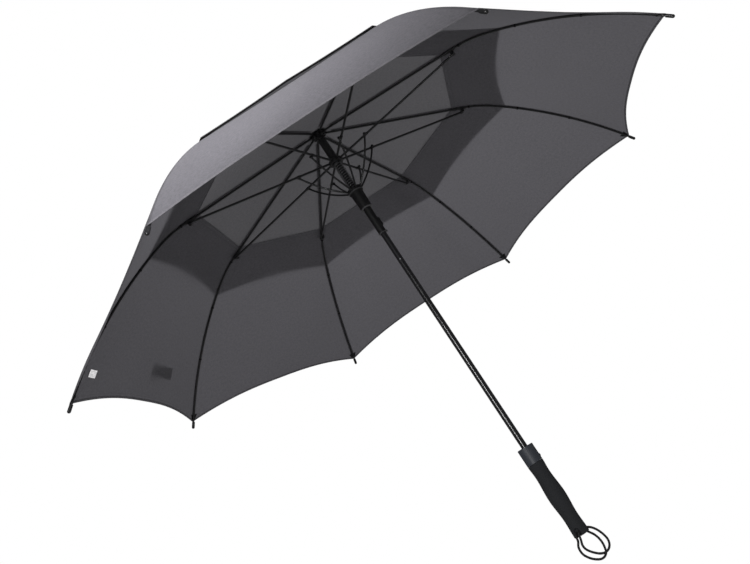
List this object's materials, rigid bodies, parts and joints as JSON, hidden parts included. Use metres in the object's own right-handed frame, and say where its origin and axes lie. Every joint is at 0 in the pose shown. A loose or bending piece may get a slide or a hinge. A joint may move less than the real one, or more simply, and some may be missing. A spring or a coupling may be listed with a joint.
{
  "type": "golf umbrella",
  "caption": "Open automatic golf umbrella with a vented double canopy on curved ribs, stretchers and links, two sliding runners, push-button collar and foam grip with wrist cord.",
  "frame": {"origin": "middle of the grip's length, on the shaft's axis", "axes": "+Z along the shaft from the grip to the canopy; +X towards the first rib; +Y towards the push button"},
  "size_m": [1.3526, 1.3526, 1.0785],
  "materials": {
    "shaft_black": "gloss",
    "steel_wire": "satin",
    "black_plastic": "satin",
    "collar_plastic": "satin",
    "foam": "matte",
    "cord": "matte",
    "spring_black": "satin",
    "rib_black": "satin",
    "canopy_cloth": "matte",
    "vent_cloth": "matte",
    "strap_cloth": "matte",
    "tag_cloth": "matte"
  },
  "bodies": {
    "frame": {"shaft_tube": "shaft_black", "shaft_pin": "steel_wire", "ferrule": "black_plastic", "top_notch": "black_plastic", "notch_ring": "steel_wire", "handle_body": "collar_plastic", "foam_grip": "foam", "end_plug": "black_plastic", "wrist_cord_a": "cord", "wrist_cord_b": "cord", "button_leaf": "steel_wire"},
    "upper_runner": {"upper_runner": "black_plastic", "upper_ring": "steel_wire"},
    "lower_runner": {"lower_runner": "black_plastic", "lower_ring": "steel_wire", "opening_spring": "spring_black"},
    "push_button": {"push_button": "collar_plastic"},
    "catch_lever": {"catch_lever": "black_plastic"},
    "rib_1": {"rib_1": "rib_black", "lower_cloth_1": "canopy_cloth", "vent_cloth_1": "vent_cloth"},
    "stretcher_1": {"stretcher_1": "rib_black"},
    "link_1": {"link_1": "rib_black"},
    "rib_2": {"rib_2": "rib_black", "lower_cloth_2": "canopy_cloth", "vent_cloth_2": "vent_cloth"},
    "stretcher_2": {"stretcher_2": "rib_black"},
    "link_2": {"link_2": "rib_black"},
    "rib_3": {"rib_3": "rib_black", "lower_cloth_3": "canopy_cloth", "vent_cloth_3": "vent_cloth"},
    "stretcher_3": {"stretcher_3": "rib_black"},
    "link_3": {"link_3": "rib_black"},
    "rib_4": {"rib_4": "rib_black", "lower_cloth_4": "canopy_cloth", "vent_cloth_4": "vent_cloth"},
    "stretcher_4": {"stretcher_4": "rib_black"},
    "link_4": {"link_4": "rib_black"},
    "rib_5": {"rib_5": "rib_black", "lower_cloth_5": "canopy_cloth", "vent_cloth_5": "vent_cloth"},
    "stretcher_5": {"stretcher_5": "rib_black"},
    "link_5": {"link_5": "rib_black"},
    "rib_6": {"rib_6": "rib_black", "lower_cloth_6": "canopy_cloth", "vent_cloth_6": "vent_cloth", "closing_strap": "strap_cloth"},
    "stretcher_6": {"stretcher_6": "rib_black"},
    "link_6": {"link_6": "rib_black"},
    "rib_7": {"rib_7": "rib_black", "lower_cloth_7": "canopy_cloth", "vent_cloth_7": "vent_cloth", "sewn_tag": "tag_cloth"},
    "stretcher_7": {"stretcher_7": "rib_black"},
    "link_7": {"link_7": "rib_black"},
    "rib_8": {"rib_8": "rib_black", "lower_cloth_8": "canopy_cloth", "vent_cloth_8": "vent_cloth"},
    "stretcher_8": {"stretcher_8": "rib_black"},
    "link_8": {"link_8": "rib_black"}
  },
  "joints": [
    {"name": "runner_slide", "type": "slide", "parent": "frame", "child": "upper_runner", "axis": [0, 0, -1], "range_m": [0, 0.5627], "stiffness_N_per_m": 40, "springref_m": -0.25},
    {"name": "lower_runner_slide", "type": "slide", "parent": "frame", "child": "lower_runner", "axis": [0, 0, -1], "range_m": [0, 0.51609], "deforming": ["opening_spring"]},
    {"name": "rib_hinge_1", "type": "hinge", "parent": "frame", "child": "rib_1", "pos_m": [0.012, 0, 0.88404], "axis": [0, 1, 0], "range_deg": [0, 63.53], "deforming": ["lower_cloth_1", "vent_cloth_1"]},
    {"name": "rib_hinge_2", "type": "hinge", "parent": "frame", "child": "rib_2", "pos_m": [0.00848, 0.00848, 0.88404], "axis": [-0.7071, 0.7071, 0], "range_deg": [0, 63.53], "deforming": ["lower_cloth_2", "vent_cloth_2"]},
    {"name": "rib_hinge_3", "type": "hinge", "parent": "frame", "child": "rib_3", "pos_m": [0, 0.012, 0.88404], "axis": [-1, 0, 0], "range_deg": [0, 63.53], "deforming": ["lower_cloth_3", "vent_cloth_3"]},
    {"name": "rib_hinge_4", "type": "hinge", "parent": "frame", "child": "rib_4", "pos_m": [-0.00848, 0.00848, 0.88404], "axis": [-0.7071, -0.7071, 0], "range_deg": [0, 63.53], "deforming": ["lower_cloth_4", "vent_cloth_4"]},
    {"name": "rib_hinge_5", "type": "hinge", "parent": "frame", "child": "rib_5", "pos_m": [-0.012, 0, 0.88404], "axis": [0, -1, 0], "range_deg": [0, 63.53], "deforming": ["lower_cloth_5", "vent_cloth_5"]},
    {"name": "rib_hinge_6", "type": "hinge", "parent": "frame", "child": "rib_6", "pos_m": [-0.00848, -0.00848, 0.88404], "axis": [0.7071, -0.7071, 0], "range_deg": [0, 63.53], "deforming": ["lower_cloth_6", "vent_cloth_6", "closing_strap"]},
    {"name": "rib_hinge_7", "type": "hinge", "parent": "frame", "child": "rib_7", "pos_m": [0, -0.012, 0.88404], "axis": [1, 0, 0], "range_deg": [0, 63.53], "deforming": ["lower_cloth_7", "vent_cloth_7", "sewn_tag"]},
    {"name": "rib_hinge_8", "type": "hinge", "parent": "frame", "child": "rib_8", "pos_m": [0.00848, -0.00848, 0.88404], "axis": [0.7071, 0.7071, 0], "range_deg": [0, 63.53], "deforming": ["lower_cloth_8", "vent_cloth_8"]},
    {"name": "stretcher_hinge_1", "type": "hinge", "parent": "upper_runner", "child": "stretcher_1", "pos_m": [0.013, 0, 0.80804], "axis": [0, -1, 0], "range_deg": [0, 77.89]},
    {"name": "stretcher_hinge_2", "type": "hinge", "parent": "upper_runner", "child": "stretcher_2", "pos_m": [0.00919, 0.00919, 0.80804], "axis": [0.7071, -0.7071, 0], "range_deg": [0, 77.89]},
    {"name": "stretcher_hinge_3", "type": "hinge", "parent": "upper_runner", "child": "stretcher_3", "pos_m": [0, 0.013, 0.80804], "axis": [1, 0, 0], "range_deg": [0, 77.89]},
    {"name": "stretcher_hinge_4", "type": "hinge", "parent": "upper_runner", "child": "stretcher_4", "pos_m": [-0.00919, 0.00919, 0.80804], "axis": [0.7071, 0.7071, 0], "range_deg": [0, 77.89]},
    {"name": "stretcher_hinge_5", "type": "hinge", "parent": "upper_runner", "child": "stretcher_5", "pos_m": [-0.013, 0, 0.80804], "axis": [0, 1, 0], "range_deg": [0, 77.89]},
    {"name": "stretcher_hinge_6", "type": "hinge", "parent": "upper_runner", "child": "stretcher_6", "pos_m": [-0.00919, -0.00919, 0.80804], "axis": [-0.7071, 0.7071, 0], "range_deg": [0, 77.89]},
    {"name": "stretcher_hinge_7", "type": "hinge", "parent": "upper_runner", "child": "stretcher_7", "pos_m": [0, -0.013, 0.80804], "axis": [-1, 0, 0], "range_deg": [0, 77.89]},
    {"name": "stretcher_hinge_8", "type": "hinge", "parent": "upper_runner", "child": "stretcher_8", "pos_m": [0.00919, -0.00919, 0.80804], "axis": [-0.7071, -0.7071, 0], "range_deg": [0, 77.89]},
    {"name": "link_hinge_1", "type": "hinge", "parent": "lower_runner", "child": "link_1", "pos_m": [0.014, 0, 0.72704], "axis": [0, -1, 0], "range_deg": [0, 35.12]},
    {"name": "link_hinge_2", "type": "hinge", "parent": "lower_runner", "child": "link_2", "pos_m": [0.0099, 0.0099, 0.72704], "axis": [0.7071, -0.7071, 0], "range_deg": [0, 35.12]},
    {"name": "link_hinge_3", "type": "hinge", "parent": "lower_runner", "child": "link_3", "pos_m": [0, 0.014, 0.72704], "axis": [1, 0, 0], "range_deg": [0, 35.12]},
    {"name": "link_hinge_4", "type": "hinge", "parent": "lower_runner", "child": "link_4", "pos_m": [-0.0099, 0.0099, 0.72704], "axis": [0.7071, 0.7071, 0], "range_deg": [0, 35.12]},
    {"name": "link_hinge_5", "type": "hinge", "parent": "lower_runner", "child": "link_5", "pos_m": [-0.014, 0, 0.72704], "axis": [0, 1, 0], "range_deg": [0, 35.12]},
    {"name": "link_hinge_6", "type": "hinge", "parent": "lower_runner", "child": "link_6", "pos_m": [-0.0099, -0.0099, 0.72704], "axis": [-0.7071, 0.7071, 0], "range_deg": [0, 35.12]},
    {"name": "link_hinge_7", "type": "hinge", "parent": "lower_runner", "child": "link_7", "pos_m": [0, -0.014, 0.72704], "axis": [-1, 0, 0], "range_deg": [0, 35.12]},
    {"name": "link_hinge_8", "type": "hinge", "parent": "lower_runner", "child": "link_8", "pos_m": [0.0099, -0.0099, 0.72704], "axis": [-0.7071, -0.7071, 0], "range_deg": [0, 35.12]},
    {"name": "button_press", "type": "slide", "parent": "frame", "child": "push_button", "axis": [0, -1, 0], "range_m": [0, 0.0017], "stiffness_N_per_m": 600, "springref_m": -0.001, "deforming": ["button_leaf"]},
    {"name": "catch_turn", "type": "hinge", "parent": "frame", "child": "catch_lever", "pos_m": [0, 0.0119, 0.0921], "axis": [-1, 0, 0], "range_deg": [0, 8.47]}
  ],
  "couplings": [
    {"joint": "lower_runner_slide", "follows": "runner_slide", "ratio": 0.91671},
    {"joint": "rib_hinge_1", "follows": "runner_slide", "rad_per_m": 1.9696},
    {"joint": "rib_hinge_2", "follows": "runner_slide", "rad_per_m": 1.9696},
    {"joint": "rib_hinge_3", "follows": "runner_slide", "rad_per_m": 1.9696},
    {"joint": "rib_hinge_4", "follows": "runner_slide", "rad_per_m": 1.9696},
    {"joint": "rib_hinge_5", "follows": "runner_slide", "rad_per_m": 1.9696},
    {"joint": "rib_hinge_6", "follows": "runner_slide", "rad_per_m": 1.9696},
    {"joint": "rib_hinge_7", "follows": "runner_slide", "rad_per_m": 1.9696},
    {"joint": "rib_hinge_8", "follows": "runner_slide", "rad_per_m": 1.9696},
    {"joint": "stretcher_hinge_1", "follows": "runner_slide", "rad_per_m": 2.4147},
    {"joint": "stretcher_hinge_2", "follows": "runner_slide", "rad_per_m": 2.4147},
    {"joint": "stretcher_hinge_3", "follows": "runner_slide", "rad_per_m": 2.4147},
    {"joint": "stretcher_hinge_4", "follows": "runner_slide", "rad_per_m": 2.4147},
    {"joint": "stretcher_hinge_5", "follows": "runner_slide", "rad_per_m": 2.4147},
    {"joint": "stretcher_hinge_6", "follows": "runner_slide", "rad_per_m": 2.4147},
    {"joint": "stretcher_hinge_7", "follows": "runner_slide", "rad_per_m": 2.4147},
    {"joint": "stretcher_hinge_8", "follows": "runner_slide", "rad_per_m": 2.4147},
    {"joint": "link_hinge_1", "follows": "runner_slide", "rad_per_m": 1.0889},
    {"joint": "link_hinge_2", "follows": "runner_slide", "rad_per_m": 1.0889},
    {"joint": "link_hinge_3", "follows": "runner_slide", "rad_per_m": 1.0889},
    {"joint": "link_hinge_4", "follows": "runner_slide", "rad_per_m": 1.0889},
    {"joint": "link_hinge_5", "follows": "runner_slide", "rad_per_m": 1.0889},
    {"joint": "link_hinge_6", "follows": "runner_slide", "rad_per_m": 1.0889},
    {"joint": "link_hinge_7", "follows": "runner_slide", "rad_per_m": 1.0889},
    {"joint": "link_hinge_8", "follows": "runner_slide", "rad_per_m": 1.0889},
    {"joint": "catch_turn", "follows": "button_press", "rad_per_m": 86.957}
  ]
}
